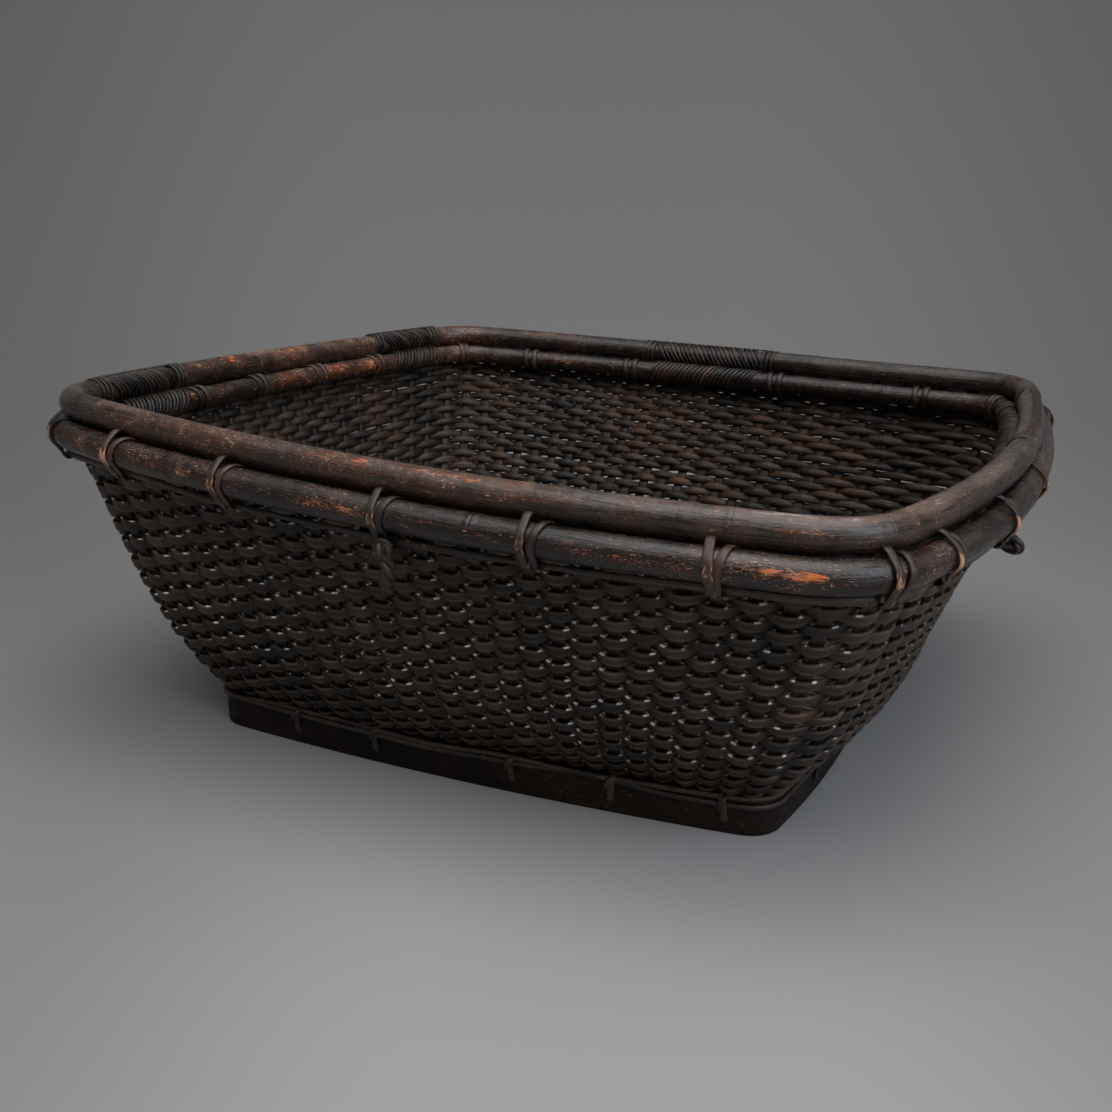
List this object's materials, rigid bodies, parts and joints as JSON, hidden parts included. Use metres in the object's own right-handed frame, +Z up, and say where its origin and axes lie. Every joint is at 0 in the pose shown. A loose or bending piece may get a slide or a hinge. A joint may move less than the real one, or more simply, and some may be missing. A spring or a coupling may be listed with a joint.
{
  "type": "square rattan basket",
  "caption": "Square open basket: a woven wall leans out from a low foot band to a lashed rim of rattan rails, with small lugs for a carrying cord.",
  "frame": {"origin": "on the floor plane, below the middle of the rim", "axes": "+Z up; +X along the longer pair of sides, to the right as the front is seen; +Y from the front to the back"},
  "size_m": [0.618, 0.568, 0.227],
  "materials": {
    "weave": "black-brown lacquered split cane, satin",
    "rail": "dark lacquered rattan with worn red-brown patches, satin",
    "strand": "dark lacquered cane strands, worn at the edges",
    "foot": "near-black lacquered bent band, dull"
  },
  "bodies": {
    "root": {"woven_wall_lower": "weave", "woven_wall_middle": "weave", "woven_wall_upper": "weave", "woven_floor": "weave", "top_rail": "rail", "outer_rail": "rail", "inner_rail": "rail", "under_rail_cane": "strand", "lashing_01": "strand", "lashing_02": "strand", "lashing_03": "strand", "lashing_04": "strand", "lashing_05": "strand", "lashing_06": "strand", "lashing_07": "strand", "lashing_08": "strand", "lashing_09": "strand", "lashing_10": "strand", "lashing_11": "strand", "lashing_12": "strand", "lashing_13": "strand", "lashing_14": "strand", "lashing_15": "strand", "lashing_16": "strand", "lashing_17": "strand", "lashing_18": "strand", "lashing_19": "strand", "lashing_20": "strand", "lashing_21": "strand", "winding_right": "strand", "winding_back": "strand", "winding_left_back": "strand", "winding_left_front": "strand", "lug_front": "strand", "lug_right": "strand", "lug_back": "strand", "lug_left": "strand", "foot_band": "foot", "foot_cane": "strand", "foot_stitch_01": "strand", "foot_stitch_02": "strand", "foot_stitch_03": "strand", "foot_stitch_04": "strand", "foot_stitch_05": "strand", "foot_stitch_06": "strand", "foot_stitch_07": "strand", "foot_stitch_08": "strand", "foot_stitch_09": "strand", "foot_stitch_10": "strand", "foot_stitch_11": "strand", "foot_stitch_12": "strand", "foot_stitch_13": "strand", "foot_stitch_14": "strand"}
  },
  "joints": []
}
